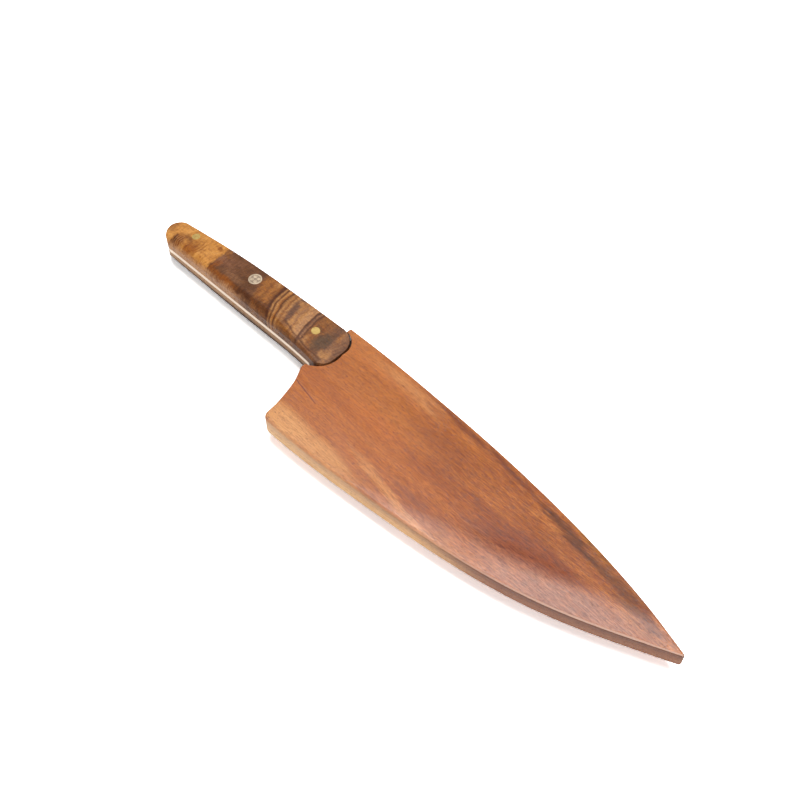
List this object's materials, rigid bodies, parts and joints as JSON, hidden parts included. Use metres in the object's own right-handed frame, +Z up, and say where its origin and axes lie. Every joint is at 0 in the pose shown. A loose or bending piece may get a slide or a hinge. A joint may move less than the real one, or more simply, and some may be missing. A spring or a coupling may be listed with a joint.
{
  "type": "knife blade guard with chef's knife",
  "caption": "Chef's knife sheathed in a wooden blade guard that follows the blade's outline, with pinned figured-wood scales on a full tang",
  "frame": {"origin": "Centre of the footprint of the whole object, on the surface that the handle lies on. The blade's middle plane is 9.8 mm above it.", "axes": "+X from the butt of the handle to the tip of the guard, +Y from the cutting edge to the spine, +Z up, through the thickness of the blade."},
  "size_m": [0.345, 0.0676, 0.0196],
  "materials": {
    "guard_wood": "oiled, satin",
    "spacer_wood": "oiled, satin",
    "scale_wood": "oiled, polished",
    "blade_steel": "satin",
    "pin_brass": "satin",
    "mosaic_metal": "satin",
    "mosaic_resin": "sanded flush",
    "magnet_nickel": "plated"
  },
  "bodies": {
    "guard": {"guard_upper_face": "guard_wood", "guard_lower_face": "guard_wood", "guard_spine_strip": "spacer_wood", "guard_edge_strip": "spacer_wood", "upper_magnet_1": "magnet_nickel", "upper_magnet_2": "magnet_nickel", "upper_magnet_3": "magnet_nickel", "lower_magnet_1": "magnet_nickel", "lower_magnet_2": "magnet_nickel", "lower_magnet_3": "magnet_nickel"},
    "knife": {"knife_blade": "blade_steel", "upper_scale": "scale_wood", "lower_scale": "scale_wood", "front_pin": "pin_brass", "rear_pin": "pin_brass", "mosaic_tube": "mosaic_metal", "mosaic_filler": "mosaic_resin", "mosaic_rod_1": "mosaic_metal", "mosaic_rod_2": "mosaic_metal", "mosaic_rod_3": "mosaic_metal", "mosaic_rod_4": "mosaic_metal"}
  },
  "joints": [
    {"name": "knife_draw", "type": "slide", "parent": "guard", "child": "knife", "axis": [-1, 0, 0], "range_m": [0, 0.22]}
  ]
}
